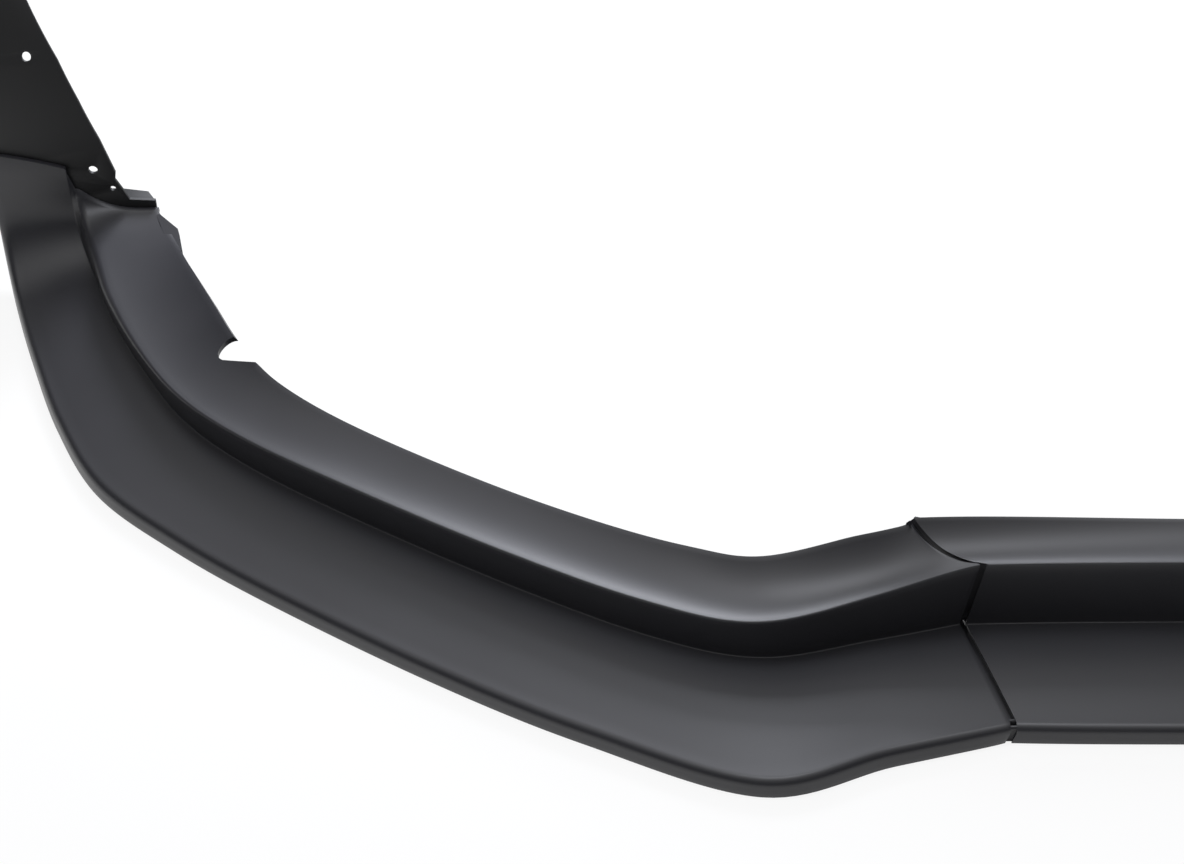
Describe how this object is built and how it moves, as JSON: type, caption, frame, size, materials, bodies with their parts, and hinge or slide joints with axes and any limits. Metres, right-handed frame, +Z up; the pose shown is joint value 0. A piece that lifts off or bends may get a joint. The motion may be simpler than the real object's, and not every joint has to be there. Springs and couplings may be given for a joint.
{
  "type": "front splitter lip",
  "caption": "Front splitter lip for a car: a straight centre section and two swept side sections, each with blade, riser and scoop, and drilled wheel-arch plates.",
  "frame": {"origin": "middle of the bounding box on the plane that the lower rim rests on", "axes": "+X to the right as seen from the front, across the car; +Y towards the rear of the car; +Z up"},
  "size_m": [1.7576, 0.5462, 0.2228],
  "materials": {
    "moulding": "satin black, moulded, fine grain",
    "sheet": "matte black sheet",
    "coated_steel": "black zinc coating"
  },
  "bodies": {
    "root": {"centre_section": "moulding", "left_section": "moulding", "right_section": "moulding", "left_arch_plate": "sheet", "right_arch_plate": "sheet", "left_joint_plate": "coated_steel", "right_joint_plate": "coated_steel", "joint_screws": "coated_steel", "joint_washers": "coated_steel", "joint_nuts": "coated_steel", "arch_screws": "coated_steel"}
  },
  "joints": []
}
